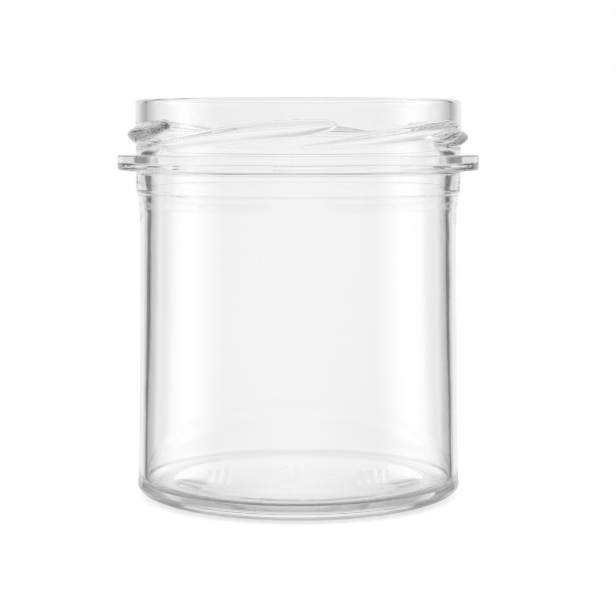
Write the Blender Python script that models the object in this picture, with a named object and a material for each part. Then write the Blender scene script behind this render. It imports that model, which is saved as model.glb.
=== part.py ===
"""Glass canning jar: one blown glass body with a six-start lug finish.

The jar is a turned shape about +Z. Its origin is the centre of the plane it stands on.
One half section is drawn from the centre of the underside, out over the stand ring, up the
outside, over the rim, down the inside and back to the centre of the floor, and is then spun.
The thread lugs and the mould marks on the heel are raised on it with a Boolean union.
"""
import math

import bmesh
import bpy
from mathutils import Vector

# Overall
HEIGHT = 0.0960

# Finish: the part above the transfer ring
FINISH_RADIUS = 0.0392
FINISH_WALL = 0.0027
LIP_HEIGHT = 0.0007
LIP_OUTER_ROUND = 0.0015
LIP_INNER_ROUND = 0.0006

# Thread lugs: each station gives how far round, how far down, and its reach up and down
LUG_COUNT = 6
LUG_HEAD_ANGLE = math.radians(-78.6)
LUG_SWEEP = math.radians(70)
LUG_HEAD_DEPTH = 0.0064
LUG_DROP = 0.0046
LUG_PROJECTION = 0.00197
LUG_REACH_UP = 0.00175
LUG_REACH_DOWN = 0.00235
LUG_ROOT_SHARE = 0.5
LUG_EDGE_SHARE = 0.06
LUG_COURSE_SHARES = ((0, 0, 0.20, 0.15), (0.017, 0, 0.49, 0.36), (0.043, 0, 0.69, 0.53),
                     (0.10, 0.04, 0.85, 0.77), (0.18, 0.11, 0.93, 0.94), (0.31, 0.21, 1, 0.98),
                     (0.44, 0.33, 0.86, 1), (0.63, 0.55, 0.66, 0.83), (0.83, 0.83, 0.43, 0.49),
                     (1, 1, 0.14, 0.15))
LUG_FULL_SHARE = 0.83
LUG_RISE_SHARE = 0.8
LUG_SIDE_SHARES = ((0.3, 0.86), (0.6, 0.52))

# Transfer ring under the finish
RING_RADIUS = 0.0436
RING_DEPTH = 0.01312
RING_THICKNESS = 0.0037
RING_EDGE_ROUND = 0.0005
RING_UPPER_FILLET = 0.00012
RING_UNDER_FILLET = 0.0010

# Shoulder band, label panel and heel
BAND_RADIUS = 0.0392
BAND_HEIGHT = 0.0052
STEP_DEPTH = 0.00038
STEP_HEIGHT = 0.0006
BAND_BLEND = 0.0044
PANEL_TOP_RADIUS = 0.03835
PANEL_FOOT_RADIUS = 0.03925
PANEL_HOLLOW = 0.00010
HEEL_RADIUS = 0.03944
HEEL_LIFT = 0.00116
HEEL_ROUND_WIDTH = 0.00707
HEEL_ROUND_HEIGHT = 0.00325

# Base
STAND_WIDTH = 0.00174
STAND_STEP = 0.00041
PUSH_UP = 0.00094
FLOOR_THICKNESS = 0.00369
FLOOR_CENTRE_THICKNESS = 0.00555
INNER_CORNER_WIDTH = 0.00155
INNER_CORNER_HEIGHT = 0.00208
PUSH_UP_SHARES = (0, 0.35, 0.65, 0.88)
FLOOR_SHARES = (0.7, 0.38, 0)

# Inside of the wall
WALL_UPPER = 0.0025
WALL_LOWER = 0.00205
WALL_CHANGE_HEIGHT = 0.0300
WALL_CHANGE_LENGTH = 0.0400
THROAT_SWELL = 0.0005
THROAT_LENGTH = 0.0055
THROAT_HOLD = 0.0018

# Mould marks on the heel: groups of plain upright bars, as azimuth and count
MARK_HEIGHT = 0.0103
MARK_HALF_LENGTH = 0.0016
MARK_HALF_WIDTH = 0.00042
MARK_PROJECTION = 0.00028
MARK_ROOT_SHARE = 1.0
MARK_PITCH = 0.0021
MARK_GROUPS = ((-117, 3), (-92.5, 2), (-64, 4))

# Faceting
SEGMENTS = 64
CORNER_STEPS = 3
BLEND_STEPS = 4
WALL_STEPS = 4
MARK_SIDES = 6
MERGE_SHARE = 0.01

# Heights and radii that follow from the sizes above
MOUTH_RADIUS = FINISH_RADIUS - FINISH_WALL
RING_TOP = HEIGHT - RING_DEPTH
RING_BOTTOM = RING_TOP - RING_THICKNESS
BAND_BOTTOM = RING_BOTTOM - BAND_HEIGHT
STEP_BOTTOM = BAND_BOTTOM - STEP_HEIGHT
PANEL_TOP = STEP_BOTTOM - BAND_BLEND
PANEL_FOOT = HEEL_ROUND_HEIGHT + HEEL_LIFT
STAND_RADIUS = HEEL_RADIUS - HEEL_ROUND_WIDTH
STAND_INNER_RADIUS = STAND_RADIUS - STAND_WIDTH


def arc(centre_r, centre_z, size_r, size_z, start, end, steps):
    """Points of an elliptical arc in the half section, angles in degrees from +r."""
    points = []
    for i in range(steps + 1):
        angle = math.radians(start + (end - start) * i / steps)
        r = centre_r + size_r * math.cos(angle)
        z = centre_z + size_z * math.sin(angle)
        points.append((r, z))
    return points


def blend(start, end, steps):
    """Points of an S-shaped run between two points, tangent to the axis at both ends."""
    points = []
    for i in range(steps + 1):
        share = i / steps
        ease = share * share * (3 - 2 * share)
        r = start[0] + (end[0] - start[0]) * ease
        z = start[1] + (end[1] - start[1]) * share
        points.append((r, z))
    return points


def panel_radius(z):
    """Outer radius of the label panel at a height, a cone that is slightly hollow."""
    share = (z - PANEL_FOOT) / (PANEL_TOP - PANEL_FOOT)
    straight = PANEL_FOOT_RADIUS + (PANEL_TOP_RADIUS - PANEL_FOOT_RADIUS) * share
    return straight - PANEL_HOLLOW * math.sin(math.pi * share)


def wall_thickness(z):
    """Wall at a height: the lower wall is thinner, and eases into the upper one."""
    share = (z - WALL_CHANGE_HEIGHT) / WALL_CHANGE_LENGTH + 0.5
    share = min(max(share, 0), 1)
    return WALL_LOWER + (WALL_UPPER - WALL_LOWER) * share * share * (3 - 2 * share)


def floor_height(share):
    """Top of the floor, domed from its foot at the corner to its centre."""
    crown = PUSH_UP + FLOOR_CENTRE_THICKNESS - FLOOR_THICKNESS
    return FLOOR_THICKNESS + crown * (1 - share * share)


def underside():
    """From the centre of the push-up to the outer edge of the stand ring."""
    points = []
    for share in PUSH_UP_SHARES:
        r = STAND_INNER_RADIUS * share
        points.append((r, STAND_STEP + (PUSH_UP - STAND_STEP) * (1 - share * share)))
    points.append((STAND_INNER_RADIUS - STAND_STEP, STAND_STEP))
    points.append((STAND_INNER_RADIUS, 0))
    return points


def outside():
    """From the stand ring up the heel, the panel, the band and the ring to the lip."""
    points = arc(STAND_RADIUS, HEEL_ROUND_HEIGHT, HEEL_ROUND_WIDTH, HEEL_ROUND_HEIGHT,
                 -90, 0, CORNER_STEPS + 2)
    for i in range(WALL_STEPS + 1):
        z = PANEL_FOOT + (PANEL_TOP - PANEL_FOOT) * i / WALL_STEPS
        points.append((panel_radius(z), z))
    points += blend(points.pop(), (BAND_RADIUS - STEP_DEPTH, STEP_BOTTOM), BLEND_STEPS)
    points.append((BAND_RADIUS, BAND_BOTTOM))
    points += arc(BAND_RADIUS + RING_UNDER_FILLET, RING_BOTTOM - RING_UNDER_FILLET,
                  RING_UNDER_FILLET, RING_UNDER_FILLET, 180, 90, CORNER_STEPS - 1)
    edge = RING_RADIUS - RING_EDGE_ROUND
    points += arc(edge, RING_BOTTOM + RING_EDGE_ROUND,
                  RING_EDGE_ROUND, RING_EDGE_ROUND, -90, 0, CORNER_STEPS - 1)
    points += arc(edge, RING_TOP - RING_EDGE_ROUND,
                  RING_EDGE_ROUND, RING_EDGE_ROUND, 0, 90, CORNER_STEPS - 1)
    points.append((FINISH_RADIUS + RING_UPPER_FILLET, RING_TOP))
    points.append((FINISH_RADIUS, RING_TOP + RING_UPPER_FILLET))
    points += arc(FINISH_RADIUS - LIP_OUTER_ROUND, HEIGHT - LIP_HEIGHT,
                  LIP_OUTER_ROUND, LIP_HEIGHT, 0, 90, CORNER_STEPS + 1)
    return points


def inside():
    """From the lip down the throat and the inner wall to the centre of the floor."""
    points = arc(MOUTH_RADIUS + LIP_INNER_ROUND, HEIGHT - LIP_HEIGHT,
                 LIP_INNER_ROUND, LIP_HEIGHT, 90, 180, CORNER_STEPS)
    bore = PANEL_TOP_RADIUS - WALL_UPPER
    throat = bore - THROAT_SWELL
    points += blend((MOUTH_RADIUS, RING_TOP + THROAT_LENGTH), (throat, RING_TOP), BLEND_STEPS)
    points += blend((throat, RING_TOP - THROAT_HOLD), (bore, RING_BOTTOM), BLEND_STEPS)
    points.append((bore, STEP_BOTTOM))
    corner_top = FLOOR_THICKNESS + INNER_CORNER_HEIGHT
    top = STEP_BOTTOM
    for i in range(1, WALL_STEPS + 2):
        z = top + (corner_top - top) * i / (WALL_STEPS + 1)
        points.append((panel_radius(z) - wall_thickness(z), z))
    foot = points.pop()[0] - INNER_CORNER_WIDTH
    points += arc(foot, corner_top, INNER_CORNER_WIDTH, INNER_CORNER_HEIGHT,
                  0, -90, CORNER_STEPS + 1)
    for share in FLOOR_SHARES:
        points.append((foot * share, floor_height(share)))
    return points


def glass_material():
    """Clear soda-lime glass."""
    material = bpy.data.materials.new("clear_glass")
    material.use_nodes = True
    shader = material.node_tree.nodes["Principled BSDF"]
    shader.inputs["Base Color"].default_value = (0.86, 0.90, 0.88, 1)
    shader.inputs["Roughness"].default_value = 0.02
    shader.inputs["Metallic"].default_value = 0
    shader.inputs["IOR"].default_value = 1.52
    shader.inputs["Transmission Weight"].default_value = 1
    return material


def new_object(name, bm):
    """Store a bmesh as a named object and free it."""
    mesh = bpy.data.meshes.new(name)
    bm.to_mesh(mesh)
    bm.free()
    thing = bpy.data.objects.new(name, mesh)
    bpy.context.scene.collection.objects.link(thing)
    return thing


def turned_body():
    """Spin the half section into the closed glass body."""
    bm = bmesh.new()
    section = underside() + outside() + inside()
    verts = [bm.verts.new((r, 0, z)) for r, z in section]
    edges = [bm.edges.new(pair) for pair in zip(verts, verts[1:])]
    bmesh.ops.spin(bm, geom=verts + edges, cent=(0, 0, 0), axis=(0, 0, 1),
                   angle=math.tau, steps=SEGMENTS, use_merge=True)
    bmesh.ops.remove_doubles(bm, verts=bm.verts, dist=MARK_PROJECTION * MERGE_SHARE)
    bmesh.ops.recalc_face_normals(bm, faces=bm.faces)
    return new_object("glass_jar", bm)


def closed_skin(bm, rings):
    """Skin a row of equal rings of points into a closed tube with capped ends."""
    loops = [[bm.verts.new(point) for point in ring] for ring in rings]
    count = len(loops[0])
    for low, high in zip(loops, loops[1:]):
        for i in range(count):
            j = (i + 1) % count
            bm.faces.new((low[i], low[j], high[j], high[i]))
    bm.faces.new(reversed(loops[0]))
    bm.faces.new(loops[-1])


def lug_ring(azimuth, z, up, down, rise):
    """One closed section of a lug: down its outside from the upper edge, and back in the wall."""
    root = FINISH_RADIUS - FINISH_WALL * LUG_ROOT_SHARE
    edge = FINISH_RADIUS - rise * LUG_EDGE_SHARE
    upper = [(FINISH_RADIUS + rise * out, z + up * reach) for reach, out in LUG_SIDE_SHARES]
    lower = [(FINISH_RADIUS + rise * out, z - down * reach) for reach, out in LUG_SIDE_SHARES]
    outline = [(edge, z + up)] + upper[::-1] + [(FINISH_RADIUS + rise, z)]
    outline += lower + [(edge, z - down)]
    outline += [(root, z - down * LUG_ROOT_SHARE), (root, z + up * LUG_ROOT_SHARE)]
    return [(r * math.cos(azimuth), r * math.sin(azimuth), height) for r, height in outline]


def lug_rings(head_angle):
    """Sections of one lug, from its blunt head down to its thin tail."""
    rings = []
    for around, drop, up_share, down_share in LUG_COURSE_SHARES:
        up, down = LUG_REACH_UP * up_share, LUG_REACH_DOWN * down_share
        full = min((up_share + down_share) / 2 / LUG_FULL_SHARE, 1) ** LUG_RISE_SHARE
        rings.append(lug_ring(head_angle - LUG_SWEEP * around,
                              HEIGHT - LUG_HEAD_DEPTH - LUG_DROP * drop,
                              up, down, LUG_PROJECTION * full))
    return rings


def raised_marks(bm):
    """Upright bars on the heel, where a mould carries its plain index marks."""
    foot = panel_radius(MARK_HEIGHT)
    root = MARK_PROJECTION * MARK_ROOT_SHARE
    half = Vector((root + MARK_PROJECTION, MARK_HALF_WIDTH, MARK_HALF_LENGTH))
    for azimuth, count in MARK_GROUPS:
        for i in range(count):
            turn = math.radians(azimuth) + (i - (count - 1) / 2) * MARK_PITCH / foot
            bar = bmesh.ops.create_uvsphere(bm, u_segments=MARK_SIDES, v_segments=MARK_SIDES,
                                            radius=MARK_PROJECTION)["verts"]
            bmesh.ops.scale(bm, verts=bar, vec=half / MARK_PROJECTION)
            bmesh.ops.translate(bm, verts=bar, vec=(foot - root, 0, MARK_HEIGHT))
            for vert in bar:
                x, y = vert.co.x, vert.co.y
                vert.co.x = x * math.cos(turn) - y * math.sin(turn)
                vert.co.y = x * math.sin(turn) + y * math.cos(turn)


def raised_relief():
    """All that stands proud of the turned body, as one hidden guide for the union."""
    bm = bmesh.new()
    for i in range(LUG_COUNT):
        closed_skin(bm, lug_rings(LUG_HEAD_ANGLE + math.tau * i / LUG_COUNT))
    raised_marks(bm)
    bmesh.ops.recalc_face_normals(bm, faces=bm.faces)
    relief = new_object("raised_relief", bm)
    relief.hide_render = True
    relief.display_type = "WIRE"
    return relief


def main():
    for old in list(bpy.data.objects):
        bpy.data.objects.remove(old, do_unlink=True)
    jar = turned_body()
    jar.data.materials.append(glass_material())
    union = jar.modifiers.new("raised", "BOOLEAN")
    union.operation = "UNION"
    union.solver = "EXACT"
    union.object = raised_relief()
    jar.data.shade_smooth()
    jar.data.set_sharp_from_angle(angle=math.radians(40))


main()
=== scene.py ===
"""Clear glass canning jar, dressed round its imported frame, on a white studio floor."""
import math

import bmesh
import bpy
from bpy.props import FloatProperty, FloatVectorProperty, IntProperty, PointerProperty
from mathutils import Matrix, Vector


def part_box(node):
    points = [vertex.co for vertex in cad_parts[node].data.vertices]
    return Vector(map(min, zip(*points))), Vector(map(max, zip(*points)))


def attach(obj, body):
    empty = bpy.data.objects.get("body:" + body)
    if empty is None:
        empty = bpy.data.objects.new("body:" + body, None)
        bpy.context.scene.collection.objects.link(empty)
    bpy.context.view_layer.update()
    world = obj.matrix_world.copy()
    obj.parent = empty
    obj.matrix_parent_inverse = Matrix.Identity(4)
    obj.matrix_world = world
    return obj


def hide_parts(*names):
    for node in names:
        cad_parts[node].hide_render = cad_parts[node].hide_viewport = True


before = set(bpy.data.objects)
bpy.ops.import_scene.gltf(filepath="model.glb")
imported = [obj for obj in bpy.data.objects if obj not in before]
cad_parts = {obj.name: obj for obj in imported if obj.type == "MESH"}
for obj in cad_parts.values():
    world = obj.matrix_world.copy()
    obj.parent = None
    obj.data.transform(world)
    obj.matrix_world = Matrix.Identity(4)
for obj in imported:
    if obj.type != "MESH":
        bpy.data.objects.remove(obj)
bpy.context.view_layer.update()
JAR_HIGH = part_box("glass_jar")[1]

bl_info = {
    "name": "Glass Canning Jar",
    "version": (1, 0, 0),
    "blender": (4, 5, 0),
    "location": "View3D > Sidebar > Jar",
    "description": "Adds a clear glass canning jar with lug threads, and a white studio to see it in",
    "category": "Object",
}


def linear(hex_colour, alpha=1.0):
    """An sRGB hex value as linear red, green, blue and alpha."""
    channels = [int(hex_colour[i:i + 2], 16) / 255 for i in (1, 3, 5)]
    return tuple(c / 12.92 if c <= 0.04045 else ((c + 0.055) / 1.055) ** 2.4 for c in channels) + (alpha,)


def length(name, description, default):
    """A size in metres that the sidebar shows in scene units."""
    return FloatProperty(name=name, description=description, default=default, min=0,
                         unit="LENGTH", subtype="DISTANCE", precision=5)


def turn(name, description, degrees):
    """An angle, given in degrees and kept in radians."""
    return FloatProperty(name=name, description=description, default=math.radians(degrees),
                         unit="ROTATION", subtype="ANGLE")


def number(name, description, default):
    """A plain number."""
    return FloatProperty(name=name, description=description, default=default)


def count(name, description, default):
    """A whole number of copies or steps."""
    return IntProperty(name=name, description=description, default=default, min=1)


def colour(name, description, hex_colour):
    """A colour, given as an sRGB hex value and kept linear."""
    return FloatVectorProperty(name=name, description=description, default=linear(hex_colour),
                               size=4, min=0, max=1, subtype="COLOR")


class JarSizes(bpy.types.PropertyGroup):
    """Sizes of the turned glass body."""

    height: length("Height", "From the table to the rim", JAR_HIGH.z)
    finish_radius: length("Finish Radius", "Outside of the neck between the lugs", 0.0392)
    finish_wall: length("Finish Wall", "Glass at the mouth", 0.0027)
    lip_height: length("Lip Height", "Height of the rim's rounding", 0.0007)
    lip_outer: length("Lip Outer Round", "How far the rim rounds in from the outside", 0.0015)
    lip_inner: length("Lip Inner Round", "How far the rim rounds in from the inside", 0.0006)
    ring_radius: length("Ring Radius", "Outside of the transfer ring", JAR_HIGH.x)
    ring_depth: length("Ring Depth", "From the rim down to the ring's top", 0.01312)
    ring_thickness: length("Ring Thickness", "Height of the transfer ring", 0.0037)
    ring_round: length("Ring Edge Round", "Rounding of the ring's edges", 0.0005)
    ring_fillet: length("Ring Fillet", "Where the ring meets the neck", 0.00012)
    under_fillet: length("Under Fillet", "Where the ring meets the band under it", 0.0010)
    band_radius: length("Band Radius", "Outside of the band under the ring", 0.0392)
    band_height: length("Band Height", "Height of the band under the ring", 0.0052)
    step_depth: length("Step Depth", "Small step at the foot of the band", 0.00038)
    step_height: length("Step Height", "Height of that step", 0.0006)
    band_blend: length("Band Blend", "From the step down to the panel", 0.0044)
    panel_top: length("Panel Top Radius", "Outside of the panel at its top", 0.03835)
    panel_foot: length("Panel Foot Radius", "Outside of the panel at its foot", 0.03925)
    panel_hollow: length("Panel Hollow", "How far the panel bows in", 0.0001)
    heel_radius: length("Heel Radius", "Outside of the heel", 0.03944)
    heel_lift: length("Heel Lift", "From the heel's round to the panel", 0.00116)
    heel_width: length("Heel Round Width", "How far the heel rounds in", 0.00707)
    heel_height: length("Heel Round Height", "How far the heel rounds up", 0.00325)
    stand_width: length("Stand Width", "Width of the ring it stands on", 0.00174)
    stand_step: length("Stand Step", "Round inside the ring it stands on", 0.00041)
    push_up: length("Push-up", "Rise of the underside at its centre", 0.00094)
    floor_edge: length("Floor Thickness", "Glass at the edge of the floor", 0.00369)
    floor_centre: length("Floor Centre", "Glass at the centre of the floor", 0.00555)
    corner_width: length("Inner Corner Width", "How far the inner corner reaches in", 0.00155)
    corner_height: length("Inner Corner Height", "How far it reaches up the wall", 0.00208)
    wall_upper: length("Upper Wall", "Glass in the upper wall", 0.00250)
    wall_lower: length("Lower Wall", "Glass in the lower wall", 0.00205)
    wall_change: length("Wall Change", "Height where the wall changes", 0.03000)
    wall_change_length: length("Wall Change Length", "Run of that change", 0.04000)
    throat_swell: length("Throat Swell", "How far the throat is narrower than the bore", 0.0005)
    throat_length: length("Throat Length", "Run from the mouth's wall down to the throat", 0.0055)
    throat_hold: length("Throat Hold", "How far down the throat stays narrow", 0.0018)
    segments: count("Segments", "Steps round the axis", 448)


class ReliefSizes(bpy.types.PropertyGroup):
    """Sizes of what stands proud of the turned body."""

    lug_count: count("Lugs", "Thread starts round the neck", 6)
    lug_head: turn("Lug Head", "Azimuth of the first lug's head", -78.6)
    lug_projection: length("Lug Projection", "How far a lug stands out", 0.00197)
    knurl_count: count("Stipples", "Stipples round the ring it stands on", 112)
    knurl_depth: length("Stipple Depth", "How deep the stipples are", 0.00008)
    mark_height: length("Mark Height", "Centre of the heel marks", 0.0103)
    mark_half: length("Mark Half Length", "Half the length of a mark", 0.0016)
    mark_width: length("Mark Half Width", "Half the width of a mark", 0.00042)
    mark_rise: length("Mark Rise", "How far a mark stands out", 0.00028)
    mark_pitch: length("Mark Pitch", "From mark to mark", 0.0021)


class GlassColours(bpy.types.PropertyGroup):
    """Colours of the glass."""

    clear: colour("Clear", "Colour of the melt", "#FFFFFF")
    cloud: colour("Cloud", "Colour of the broad clouds in the melt", "#FCFCFC")


class StudioSizes(bpy.types.PropertyGroup):
    """Table, light and camera."""

    light_bounces: count("Light Bounces", "Light is followed this far through the glass", 56)
    table_white: colour("Table White", "Colour of the table", "#FAFAFA")
    table_glow: number("Table Glow", "Share of the table's white that no shadow dims", 0.5)
    table_gap: length("Table Gap", "The table lies this far under the jar's stand", 0.00003)
    table_light: number("Table Light", "Strength of the light that falls on the table", 1.6)
    # Painted shade: a grey ring on the table under the front of the heel stands in for the jar's contact
    # shadow there, and only the glass sees it.
    painted_shade_grey: colour("Shade Grey", "Colour of the shade under the heel", "#A4A4A4")
    painted_shade_inner: length("Shade Inner", "The shade under the heel starts here", 0.0315)
    painted_shade_outer: length("Shade Outer", "It has faded out here", 0.050)
    painted_shade_fade: length("Shade Fade", "It fades this far either side of the jar's middle", 0.012)
    camera_distance: length("Camera Distance", "From the jar's axis", 0.450)
    camera_height: length("Camera Height", "Above the table", 0.08794)
    camera_pitch: turn("Camera Pitch", "How far the camera looks down", 5.385)
    camera_lens: number("Lens", "Focal length in millimetres", 108.19)
    camera_right: length("Camera Side Step", "Sideways from the jar's axis", 0.00235)


# Rows of faces along each part of the section, close where the glass bends what lies behind it.
UNDERSIDE_SHARES = (0, 0.125, 0.25, 0.375, 0.5, 0.625, 0.75, 0.875, 0.97, 0.999, 1)
PANEL_SHARES = (0, 0.003, 0.02, 0.15, 0.3, 0.45, 0.6, 0.75, 0.9, 1)
MARK_SHARES = (-1.2, -0.95, -0.6, 0, 0.6, 0.95, 1.2)
WALL_SHARES = (0, 0.14, 0.28, 0.42, 0.56, 0.7, 0.84, 0.96, 0.995)
FLOOR_SHARES = (0.995, 0.96, 0.88, 0.78, 0.66, 0.54, 0.42, 0.3, 0.18, 0.08, 0)
HOLD_SHARE = 0.03
STAND_ROWS, STAND_ROUND_ROWS, HEEL_ROWS = 4, 4, 14
BLEND_ROWS, STEP_ROWS, BAND_ROWS = 7, 4, 3
RING_ROUND_ROWS, RING_FACE_ROWS, RING_FILLET_ROWS = 5, 2, 3
NECK_ROWS, LUG_ROWS, LIP_OUTER_ROWS, LIP_INNER_ROWS = 2, 35, 10, 6
MOUTH_ROWS, THROAT_ROWS, SHOULDER_ROWS, CORNER_ROWS = 3, 9, 6, 16
SAME_PLACE = 0.000002

# The neck is bare this far under the rim's rounding and over the transfer ring.
BARE_ABOVE_LUGS = 0.0035
BARE_BELOW_LUGS = 0.0013
# A lug's course: degrees past its head, depth of its crest under the rim, and its reach above and
# below the crest, in millimetres.
LUG_COURSE = (
    (0, 6.40, 0.35, 0.35), (1.2, 6.38, 0.85, 0.85), (3, 6.36, 1.20, 1.25), (7, 6.60, 1.48, 1.80),
    (11, 6.78, 1.56, 2.15), (22, 7.35, 1.75, 2.30), (31, 7.90, 1.50, 2.35), (37, 8.35, 1.35, 2.25),
    (44, 8.95, 1.15, 1.95), (51, 9.60, 0.95, 1.55), (58, 10.20, 0.75, 1.15), (64, 10.65, 0.50, 0.75),
    (70, 11.0, 0.25, 0.35))
# A lug has its full height where it reaches this many millimetres in all, and sinks as it narrows.
LUG_FULL_REACH = 3.4
LUG_SINKING = 0.8
# Powers that round a lug's flanks and its crest.
LUG_FLANK, LUG_CREST = 1.7, 1.2
# The heel's plain bars: azimuth of each group's middle in degrees, and the number of bars in it.
MARK_GROUPS = ((-117, 3), (-92.5, 2), (-64, 4))
# A bar's round is broader than an ellipse of its half width by the root of this.
MARK_BREADTH = 2.2
AZIMUTH_DIGITS = 4


def arc(centre, radii, start, end, steps):
    """Points of an elliptical arc in the half section, angles in degrees from outwards."""
    points = []
    for i in range(steps + 1):
        angle = math.radians(start + (end - start) * i / steps)
        points.append((centre[0] + radii[0] * math.cos(angle), centre[1] + radii[1] * math.sin(angle)))
    return points


def run(start, end, steps):
    """Points along a straight run, with one more close to each end to hold the shading."""
    shares = [0, HOLD_SHARE] + [i / steps for i in range(1, steps)] + [1 - HOLD_SHARE, 1]
    return [tuple(a + (b - a) * share for a, b in zip(start, end)) for share in shares]


def eased(start, end, steps):
    """Points of an S-shaped run, upright at both ends."""
    points = []
    for i in range(steps + 1):
        share = i / steps
        ease = share * share * (3 - 2 * share)
        points.append((start[0] + (end[0] - start[0]) * ease, start[1] + (end[1] - start[1]) * share))
    return points


def levels(size):
    """Heights of the ring's top and bottom, the band's foot, the step's foot and the panel's top."""
    ring_top = size.height - size.ring_depth
    ring_bottom = ring_top - size.ring_thickness
    band_bottom = ring_bottom - size.band_height
    step_bottom = band_bottom - size.step_height
    return ring_top, ring_bottom, band_bottom, step_bottom, step_bottom - size.band_blend


def panel_radius(size, z):
    """Outside of the panel at a height."""
    foot = size.heel_height + size.heel_lift
    share = (z - foot) / (levels(size)[-1] - foot)
    return (size.panel_foot + (size.panel_top - size.panel_foot) * share
            - size.panel_hollow * math.sin(math.pi * share))


def wall_thickness(size, z):
    """Glass at a height: the lower wall is thinner, and eases into the upper one."""
    share = min(max((z - size.wall_change) / size.wall_change_length + 0.5, 0), 1)
    return size.wall_lower + (size.wall_upper - size.wall_lower) * share * share * (3 - 2 * share)


def floor_height(size, share):
    """Top of the floor, domed over the push-up, at a share of its radius."""
    crown = size.push_up + size.floor_centre - size.floor_edge
    return size.floor_edge + crown * (1 - share * share)


def base_points(size):
    """The underside, the ring it stands on and the heel's round."""
    stand = size.heel_radius - size.heel_width
    inner = stand - size.stand_width
    dome = inner - size.stand_step
    rise = size.push_up - size.stand_step
    step = (size.stand_step, size.stand_step)
    points = [(dome * share, size.stand_step + rise * (1 - share * share)) for share in UNDERSIDE_SHARES]
    points += arc((inner, size.stand_step), step, 180, 270, STAND_ROUND_ROWS)[1:]
    points += run((inner, 0), (stand, 0), STAND_ROWS)[1:-1]
    heel = (size.heel_width, size.heel_height)
    return points + arc((stand, size.heel_height), heel, -90, 0, HEEL_ROWS)


def panel_points(size, relief):
    """The panel with its rows for the heel marks, then the step and the band."""
    _, ring_bottom, band_bottom, step_bottom, panel_top = levels(size)
    panel_foot = size.heel_height + size.heel_lift
    heights = [panel_foot + (panel_top - panel_foot) * share for share in PANEL_SHARES]
    heights += [relief.mark_height + relief.mark_half * share for share in MARK_SHARES]
    points = [(panel_radius(size, z), z) for z in sorted(heights)]
    points += eased(points.pop(), (size.band_radius - size.step_depth, step_bottom), BLEND_ROWS)
    points += eased(points.pop(), (size.band_radius, band_bottom), STEP_ROWS)
    fillet_foot = (size.band_radius, ring_bottom - size.under_fillet)
    return points + run(points[-1], fillet_foot, BAND_ROWS)[1:-1]


def ring_points(size):
    """The transfer ring, from the fillet under it to the fillet on top of it."""
    ring_top, ring_bottom = levels(size)[:2]
    under, upper = (size.under_fillet, size.under_fillet), (size.ring_fillet, size.ring_fillet)
    edge, rounding = size.ring_radius - size.ring_round, (size.ring_round, size.ring_round)
    centre = (size.band_radius + size.under_fillet, ring_bottom - size.under_fillet)
    points = arc(centre, under, 180, 90, RING_ROUND_ROWS)
    points += run(points[-1], (edge, ring_bottom), RING_FACE_ROWS)[1:-1]
    points += arc((edge, ring_bottom + size.ring_round), rounding, -90, 0, RING_ROUND_ROWS)
    points += run(points[-1], (size.ring_radius, ring_top - size.ring_round), RING_FACE_ROWS)[1:-1]
    points += arc((edge, ring_top - size.ring_round), rounding, 0, 90, RING_ROUND_ROWS)
    points += run(points[-1], (size.finish_radius + size.ring_fillet, ring_top), RING_FACE_ROWS)[1:-1]
    centre = (size.finish_radius + size.ring_fillet, ring_top + size.ring_fillet)
    return points + arc(centre, upper, 270, 180, RING_FILLET_ROWS)


def neck_points(size, start):
    """The neck with its rows for the lugs, then the rim."""
    neck, mouth = size.finish_radius, size.finish_radius - size.finish_wall
    wall_top = size.height - size.lip_height
    lugs_top, lugs_bottom = wall_top - BARE_ABOVE_LUGS, levels(size)[0] + BARE_BELOW_LUGS
    outer, inner = (size.lip_outer, size.lip_height), (size.lip_inner, size.lip_height)
    points = run(start, (neck, lugs_bottom), NECK_ROWS)[1:-1]
    points += [(neck, lugs_bottom + (lugs_top - lugs_bottom) * i / LUG_ROWS) for i in range(LUG_ROWS)]
    points += run((neck, lugs_top), (neck, wall_top), NECK_ROWS)[:-1]
    points += arc((neck - size.lip_outer, wall_top), outer, 0, 90, LIP_OUTER_ROWS)
    points += run(points[-1], (mouth + size.lip_inner, size.height), 1)[1:-1]
    return points + arc((mouth + size.lip_inner, wall_top), inner, 90, 180, LIP_INNER_ROWS)


def inside_points(size, start):
    """The mouth, the throat, the bore, the inner corner and the domed floor."""
    ring_top, ring_bottom, _, step_bottom, _ = levels(size)
    mouth = (size.finish_radius - size.finish_wall, ring_top + size.throat_length)
    bore = size.panel_top - size.wall_upper
    throat = bore - size.throat_swell
    hold = (throat, ring_top - size.throat_hold)
    points = run(start, mouth, MOUTH_ROWS)[1:-1]
    points += eased(mouth, (throat, ring_top), THROAT_ROWS)
    points += run((throat, ring_top), hold, 1)[1:-1]
    points += eased(hold, (bore, ring_bottom), SHOULDER_ROWS)
    points += run((bore, ring_bottom), (bore, step_bottom), 1)[1:-1]
    corner = size.floor_edge + size.corner_height
    for share in WALL_SHARES:
        z = step_bottom + (corner - step_bottom) * share
        points.append((panel_radius(size, z) - wall_thickness(size, z), z))
    foot = panel_radius(size, corner) - wall_thickness(size, corner) - size.corner_width
    points += arc((foot, corner), (size.corner_width, size.corner_height), 0, -90, CORNER_ROWS)
    return points + [(foot * share, floor_height(size, share)) for share in FLOOR_SHARES]


def jar_section(size, relief):
    """The half section, from the centre of the underside round to the centre of the floor."""
    points = base_points(size) + panel_points(size, relief) + ring_points(size)
    points += neck_points(size, points[-1])
    return points + inside_points(size, points[-1])


def course(degrees):
    """Depth of a lug's crest under the rim and its upper and lower reach, in millimetres, past its head."""
    for low, high in zip(LUG_COURSE, LUG_COURSE[1:]):
        if degrees <= high[0]:
            share = (degrees - low[0]) / (high[0] - low[0])
            return [a + (b - a) * share for a, b in zip(low[1:], high[1:])]
    return None


def lugs_at(relief, azimuth):
    """Crest depth, upper and lower reach of each lug that crosses an azimuth, in millimetres."""
    spacing = math.tau / relief.lug_count
    found = []
    for i in range(relief.lug_count):
        past = math.degrees((relief.lug_head + spacing * i - azimuth) % math.tau)
        if past < LUG_COURSE[-1][0]:
            found.append(course(past))
    return found


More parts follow.
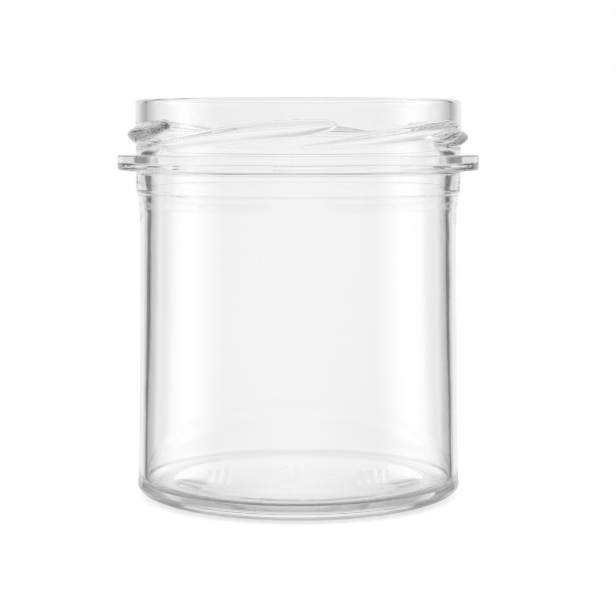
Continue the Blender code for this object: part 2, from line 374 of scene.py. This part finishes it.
def lug_rise(size, relief, lugs, z):
    """How far the lugs lift the outside of the neck at a height."""
    depth = (size.height - z) * 1000
    most = 0
    for crest, upper, lower in lugs:
        off = depth - crest
        across = abs(off) / (lower if off > 0 else upper)
        if across < 1:
            fullness = min((upper + lower) / LUG_FULL_REACH, 1) ** LUG_SINKING
            most = max(most, relief.lug_projection * fullness * (1 - across ** LUG_FLANK) ** LUG_CREST)
    return most


def mark_rise(size, relief, azimuth, z):
    """How far the plain bars on the heel lift it at a place on it."""
    most = 0
    for middle, many in MARK_GROUPS:
        for i in range(many):
            place = math.radians(middle) * size.heel_radius + (i - (many - 1) / 2) * relief.mark_pitch
            aside = (azimuth * size.heel_radius - place) / relief.mark_width
            along = (z - relief.mark_height) / relief.mark_half
            inside = 1 - aside * aside / MARK_BREADTH - along * along
            if inside > 0:
                most = max(most, relief.mark_rise * math.sqrt(inside))
    return most


def raise_relief(bm, size, relief):
    """Lifts the lugs, the heel marks and the stipples out of the turned body."""
    ring_top = levels(size)[0]
    stand = size.heel_radius - size.heel_width
    crossing = {}
    for vert in bm.verts:
        r = math.hypot(vert.co.x, vert.co.y)
        if r < size.finish_radius / 2:
            continue
        azimuth = math.atan2(vert.co.y, vert.co.x)
        z = vert.co.z
        lift = 0
        if r > size.finish_radius - size.lip_outer and z > ring_top:
            key = round(azimuth, AZIMUTH_DIGITS)
            if key not in crossing:
                crossing[key] = lugs_at(relief, azimuth)
            lift = lug_rise(size, relief, crossing[key], z)
        elif r > size.panel_top and abs(z - relief.mark_height) < relief.mark_half:
            lift = mark_rise(size, relief, azimuth, z)
        if z < size.stand_step and abs(r - stand + size.stand_width / 2) < size.stand_width / 2:
            wave = 0.5 - 0.5 * math.cos(azimuth * relief.knurl_count)
            vert.co.z += relief.knurl_depth * wave
        if lift:
            vert.co.x *= (r + lift) / r
            vert.co.y *= (r + lift) / r


def add_node(tree, kind, links=None, stops=(), **settings):
    """Adds a node, sets its ramp stops, attributes and sockets, and links what feeds it."""
    node = tree.nodes.new(kind)
    for i, (place, grey) in enumerate(stops):
        ramp = node.color_ramp.elements
        stop = ramp[i] if i < 2 else ramp.new(place)
        stop.position = place
        stop.color = (grey, grey, grey, 1)
    for name, value in settings.items():
        if hasattr(node, name):
            setattr(node, name, value)
        else:
            node.inputs[name.replace("_", " ")].default_value = value
    for name, source in (links or {}).items():
        tree.links.new(source, node.inputs[name])
    return node


GLASS_IOR = 1.52
WAVE_PITCH = 0.014
WAVE_HEIGHT = 0.0003
WAVE_STRENGTH = 0.12
CLOUD_PITCH = 0.040
SCUFF_FULL = 0.0001
SCUFF_END = 0.00025
SCUFF_ROUGHNESS = 0.3
# First and second colour sockets of a Mix node that mixes colours, and its result.
FIRST, SECOND, MIXED = 6, 7, 2


def clear_glass(colours):
    """Soda-lime glass blown in an iron mould: the eye sees what is behind it, bent by faint waves that the
    mould left, a little greyer here and there, and a scuffed, satin ring where the jar stands."""
    material = bpy.data.materials.new("moulded_soda_lime_glass")
    material.use_nodes = True
    tree = material.node_tree
    shader = tree.nodes["Principled BSDF"]
    shader.inputs["IOR"].default_value = GLASS_IOR
    shader.inputs["Transmission Weight"].default_value = 1.0
    place = add_node(tree, "ShaderNodeTexCoord")
    # The waves are about 14 mm from crest to crest and a few hundredths of a millimetre high.
    waves = add_node(tree, "ShaderNodeTexNoise", {"Vector": place.outputs["Object"]},
                     Scale=1 / WAVE_PITCH, Detail=1.0)
    bump = add_node(tree, "ShaderNodeBump", {"Height": waves.outputs["Fac"]},
                    Strength=WAVE_STRENGTH, Distance=WAVE_HEIGHT)
    tree.links.new(bump.outputs["Normal"], shader.inputs["Normal"])
    # The melt is never quite even: broad clouds, some 40 mm over, of a hardly visible grey.
    clouds = add_node(tree, "ShaderNodeTexNoise", {"Vector": place.outputs["Object"]},
                      Scale=1 / CLOUD_PITCH)
    melt = add_node(tree, "ShaderNodeMix", {"Factor": clouds.outputs["Fac"]}, data_type="RGBA")
    melt.inputs[FIRST].default_value = colours.clear
    melt.inputs[SECOND].default_value = colours.cloud
    tree.links.new(melt.outputs[MIXED], shader.inputs["Base Color"])
    # The ring that it stands on is scuffed by use, up to a quarter of a millimetre from the table.
    axes = add_node(tree, "ShaderNodeSeparateXYZ", {"Vector": place.outputs["Object"]})
    scuff = add_node(tree, "ShaderNodeMapRange", {"Value": axes.outputs["Z"]}, From_Min=SCUFF_FULL,
                     From_Max=SCUFF_END, To_Min=SCUFF_ROUGHNESS, To_Max=0)
    tree.links.new(scuff.outputs[0], shader.inputs["Roughness"])
    return material


class JAR_OT_add_glass_jar(bpy.types.Operator):
    """Add the blown glass jar with its lug threads, heel marks and stippled stand"""

    bl_idname = "jar.add_glass_jar"
    bl_label = "Add Glass Jar"

    def execute(self, context):
        size, relief = context.scene.jar_sizes, context.scene.jar_relief
        bm = bmesh.new()
        verts = [bm.verts.new((r, 0, z)) for r, z in jar_section(size, relief)]
        edges = [bm.edges.new(pair) for pair in zip(verts, verts[1:])]
        bmesh.ops.spin(bm, geom=verts + edges, cent=(0, 0, 0), axis=(0, 0, 1),
                       angle=math.tau, steps=size.segments, use_merge=True)
        bmesh.ops.remove_doubles(bm, verts=bm.verts, dist=SAME_PLACE)
        bmesh.ops.recalc_face_normals(bm, faces=bm.faces)
        raise_relief(bm, size, relief)
        mesh = bpy.data.meshes.new("blown_glass_jar")
        bm.to_mesh(mesh)
        bm.free()
        mesh.shade_smooth()
        jar = bpy.data.objects.new("blown_glass_jar", mesh)
        context.scene.collection.objects.link(jar)
        mesh.materials.append(clear_glass(context.scene.jar_colours))
        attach(jar, "root")
        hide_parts("glass_jar")
        return {"FINISHED"}


def by_azimuth(*stops):
    """Ramp stops from azimuths: degrees from straight behind the jar, 0, to the camera, 180."""
    return tuple((degrees / 180, grey) for degrees, grey in stops)


def by_elevation(*stops):
    """Ramp stops from elevations: degrees from straight down, -90, to straight up, 90."""
    return tuple(((degrees + 90) / 180, grey) for degrees, grey in stops)


# The room that the glass shows, as greys by direction, the same to the left and to the right.
# From just over the horizon down to the table near the jar: white behind it, dark at the edges of
# the white, and lit again from the sides.
ROOM_BELOW = by_azimuth(
    (0, 0.97), (9, 0.97), (16, 0.86), (31, 0.84), (33.5, 0.4), (35, 0.13), (50, 0.13), (55, 0.5),
    (59, 0.85), (65, 0.95), (80, 1.3), (97, 1.3), (108, 0.9), (118, 0.55), (180, 0.75))
# At the horizon itself, where the table ends.
ROOM_LEVEL = by_azimuth(
    (0, 0.98), (14, 0.85), (22, 0.8), (28, 0.62), (32, 0.5), (43, 0.42), (46, 0.3), (54, 0.25),
    (62, 0.83), (78, 1.6), (92, 1.5), (108, 0.7), (118, 0.5), (180, 0.45))
# How much of the horizon's own greys shows, by elevation.
HORIZON_SHARE = by_elevation((-0.75, 0.0), (-0.6, 1.0), (1.3, 1.0), (2.5, 0.0))
# Over the horizon, by elevation, and what that is multiplied by, by azimuth.
ROOM_ABOVE = by_elevation(
    (-14, 1.0), (8, 0.96), (24, 0.92), (33, 0.66), (50, 0.6), (65, 0.6), (80, 0.5))
ROOM_ROUND = by_azimuth(
    (0, 1.0), (20, 0.96), (30, 0.8), (60, 0.8), (70, 1.25), (98, 1.3), (108, 0.6), (118, 0.15),
    (152, 0.15), (162, 0.7), (180, 0.7))
# Steeply down, on the table under and near the jar.
ROOM_UNDER = by_azimuth(
    (0, 0.88), (25, 0.84), (40, 0.76), (60, 0.8), (70, 0.88), (110, 0.86), (180, 0.6))
# How much of the greys over and under shows against those near the horizon, by elevation.
STEEP_SHARE = by_elevation((-30, 1.0), (-18, 0.0), (6, 0.0), (14, 1.0))
# The painted shade under the heel, from its inner edge, 0, to its outer edge, 1.
PAINTED_SHADE_RING = ((0, 0.0), (0.12, 1.0), (0.5, 1.0), (1.0, 0.0))
# Where the horizon lies between straight down, 0, and straight up, 1.
HORIZON = 0.5
WHITE = "#FFFFFF"
FLOOR_RADIUS = 1.4
FLOOR_SEGMENTS = 96
NEAREST_SEEN = 0.01


def white_board_and_painted_shade(studio):
    """Matt painted board: the eye sees plain white with the jar's soft shadow on it. Through the glass it
    isn't there, because the room has its greys, but for a painted shade under the front of the heel: a grey
    ring on the table that stands in for the jar's contact shadow and that only the glass sees."""
    material = bpy.data.materials.new("matt_white_floor_painted_shade")
    material.use_nodes = True
    tree = material.node_tree
    tree.nodes.clear()
    paths = add_node(tree, "ShaderNodeLightPath")
    matt = add_node(tree, "ShaderNodeBsdfDiffuse", Color=studio.table_white)
    glow = add_node(tree, "ShaderNodeEmission")
    table = add_node(tree, "ShaderNodeMixShader", {1: matt.outputs[0], 2: glow.outputs[0]},
                     Fac=studio.table_glow)
    place = add_node(tree, "ShaderNodeTexCoord")
    # Painted shade: a ring round the heel, faded out towards the back, where the table is greyed to stand in
    # for the jar's contact shadow under the front of the heel.
    reach = add_node(tree, "ShaderNodeVectorMath", {"Vector": place.outputs["Object"]}, operation="LENGTH")
    reach = add_node(tree, "ShaderNodeMapRange", {"Value": reach.outputs["Value"]},
                     From_Min=studio.painted_shade_inner, From_Max=studio.painted_shade_outer)
    ring = add_node(tree, "ShaderNodeValToRGB", {"Fac": reach.outputs[0]}, stops=PAINTED_SHADE_RING)
    axes = add_node(tree, "ShaderNodeSeparateXYZ", {"Vector": place.outputs["Object"]})
    front = add_node(tree, "ShaderNodeMapRange", {"Value": axes.outputs["Y"]},
                     From_Min=-studio.painted_shade_fade, From_Max=studio.painted_shade_fade, To_Min=1, To_Max=0)
    share = add_node(tree, "ShaderNodeMath", {0: ring.outputs[0], 1: front.outputs[0]}, operation="MULTIPLY")
    # Rays through the glass see the room through the table, except on that ring, where they see the painted
    # shade's grey.
    gone = add_node(tree, "ShaderNodeBsdfTransparent")
    shade = add_node(tree, "ShaderNodeBsdfDiffuse", Color=studio.painted_shade_grey)
    painted_shade_in_glass = add_node(tree, "ShaderNodeMixShader",
                       {0: share.outputs[0], 1: gone.outputs[0], 2: shade.outputs[0]})
    seen = add_node(tree, "ShaderNodeMixShader",
                    {0: paths.outputs["Is Camera Ray"], 1: painted_shade_in_glass.outputs[0], 2: table.outputs[0]})
    add_node(tree, "ShaderNodeOutputMaterial", {"Surface": seen.outputs[0]})
    return material


def lay_floor(scene, studio):
    """The round white table that the jar stands on."""
    bm = bmesh.new()
    bmesh.ops.create_circle(bm, cap_ends=True, segments=FLOOR_SEGMENTS, radius=FLOOR_RADIUS)
    mesh = bpy.data.meshes.new("studio_floor")
    bm.to_mesh(mesh)
    bm.free()
    floor = bpy.data.objects.new("studio_floor", mesh)
    floor.location.z = -studio.table_gap
    scene.collection.objects.link(floor)
    mesh.materials.append(white_board_and_painted_shade(studio))


def light_room(scene, studio):
    """The room: white to the camera, one even light to the table, and its greys to the glass."""
    world = bpy.data.worlds.new("studio_world")
    scene.world = world
    world.use_nodes = True
    tree = world.node_tree
    tree.nodes.clear()
    look = add_node(tree, "ShaderNodeTexCoord")
    axes = add_node(tree, "ShaderNodeSeparateXYZ", {"Vector": look.outputs["Generated"]})
    side = add_node(tree, "ShaderNodeMath", {0: axes.outputs["X"]}, operation="ABSOLUTE")
    angle = add_node(tree, "ShaderNodeMath", {0: side.outputs[0], 1: axes.outputs["Y"]}, operation="ARCTAN2")
    azimuth = add_node(tree, "ShaderNodeMath", {0: angle.outputs[0]}, operation="DIVIDE")
    azimuth.inputs[1].default_value = math.pi
    angle = add_node(tree, "ShaderNodeMath", {0: axes.outputs["Z"]}, operation="ARCSINE")
    elevation = add_node(tree, "ShaderNodeMapRange", {"Value": angle.outputs[0]},
                         From_Min=-math.pi / 2, From_Max=math.pi / 2)
    below, level, around, under = [
        add_node(tree, "ShaderNodeValToRGB", {"Fac": azimuth.outputs[0]}, stops=stops)
        for stops in (ROOM_BELOW, ROOM_LEVEL, ROOM_ROUND, ROOM_UNDER)]
    above, horizon_share, steep_share = [
        add_node(tree, "ShaderNodeValToRGB", {"Fac": elevation.outputs[0]}, stops=stops)
        for stops in (ROOM_ABOVE, HORIZON_SHARE, STEEP_SHARE)]
    sky = add_node(tree, "ShaderNodeMath", {0: above.outputs[0], 1: around.outputs[0]}, operation="MULTIPLY")
    sinks = add_node(tree, "ShaderNodeMath", {0: elevation.outputs[0]}, operation="LESS_THAN")
    sinks.inputs[1].default_value = HORIZON
    low = add_node(tree, "ShaderNodeMix", {
        "Factor": horizon_share.outputs[0], FIRST: below.outputs[0], SECOND: level.outputs[0]},
        data_type="RGBA")
    steep = add_node(tree, "ShaderNodeMix", {
        "Factor": sinks.outputs[0], FIRST: sky.outputs[0], SECOND: under.outputs[0]}, data_type="RGBA")
    room = add_node(tree, "ShaderNodeMix", {
        "Factor": steep_share.outputs[0], FIRST: low.outputs[MIXED], SECOND: steep.outputs[MIXED]},
        data_type="RGBA")
    paths = add_node(tree, "ShaderNodeLightPath")
    white = add_node(tree, "ShaderNodeMix", {
        "Factor": paths.outputs["Is Camera Ray"], FIRST: room.outputs[MIXED]}, data_type="RGBA")
    white.inputs[SECOND].default_value = linear(WHITE)
    lit = add_node(tree, "ShaderNodeMix", {
        "Factor": paths.outputs["Diffuse Depth"], FIRST: white.outputs[MIXED]}, data_type="RGBA")
    lit.inputs[SECOND].default_value = (studio.table_light, studio.table_light, studio.table_light, 1)
    light = add_node(tree, "ShaderNodeBackground", {"Color": lit.outputs[MIXED]})
    add_node(tree, "ShaderNodeOutputWorld", {"Surface": light.outputs[0]})


def set_camera(scene, studio):
    """The camera, a little over the rim and looking slightly down."""
    lens = bpy.data.cameras.new("studio_camera")
    lens.lens = studio.camera_lens
    lens.clip_start = NEAREST_SEEN
    camera = bpy.data.objects.new("studio_camera", lens)
    scene.collection.objects.link(camera)
    camera.location = (studio.camera_right, -studio.camera_distance, studio.camera_height)
    camera.rotation_euler = (math.pi / 2 - studio.camera_pitch, 0, 0)
    scene.camera = camera


class JAR_OT_add_studio(bpy.types.Operator):
    """Add the white floor, the room's light and the camera"""

    bl_idname = "jar.add_studio"
    bl_label = "Add Studio"

    def execute(self, context):
        scene, studio = context.scene, context.scene.jar_studio
        scene.view_settings.view_transform = "Standard"
        scene.cycles.max_bounces = studio.light_bounces
        scene.cycles.transmission_bounces = studio.light_bounces
        scene.cycles.glossy_bounces = studio.light_bounces
        lay_floor(scene, studio)
        light_room(scene, studio)
        set_camera(scene, studio)
        return {"FINISHED"}


class VIEW3D_PT_glass_jar(bpy.types.Panel):
    """Sizes and tools of the glass jar"""

    bl_label = "Glass Canning Jar"
    bl_idname = "VIEW3D_PT_glass_jar"
    bl_space_type = "VIEW_3D"
    bl_region_type = "UI"
    bl_category = "Jar"

    def draw(self, context):
        layout, scene = self.layout, context.scene
        for group in (scene.jar_sizes, scene.jar_relief, scene.jar_colours, scene.jar_studio):
            box = layout.box()
            for name in group.bl_rna.properties.keys():
                if name not in ("rna_type", "name"):
                    box.prop(group, name)
        layout.operator(JAR_OT_add_glass_jar.bl_idname)
        layout.operator(JAR_OT_add_studio.bl_idname)


CLASSES = (JarSizes, ReliefSizes, GlassColours, StudioSizes,
           JAR_OT_add_glass_jar, JAR_OT_add_studio, VIEW3D_PT_glass_jar)


def register():
    for cls in CLASSES:
        bpy.utils.register_class(cls)
    bpy.types.Scene.jar_sizes = PointerProperty(type=JarSizes)
    bpy.types.Scene.jar_relief = PointerProperty(type=ReliefSizes)
    bpy.types.Scene.jar_colours = PointerProperty(type=GlassColours)
    bpy.types.Scene.jar_studio = PointerProperty(type=StudioSizes)


def unregister():
    del bpy.types.Scene.jar_studio
    del bpy.types.Scene.jar_colours
    del bpy.types.Scene.jar_relief
    del bpy.types.Scene.jar_sizes
    for cls in reversed(CLASSES):
        bpy.utils.unregister_class(cls)


def main():
    register()
    bpy.ops.jar.add_glass_jar()
    bpy.ops.jar.add_studio()


if __name__ == "__main__":
    main()
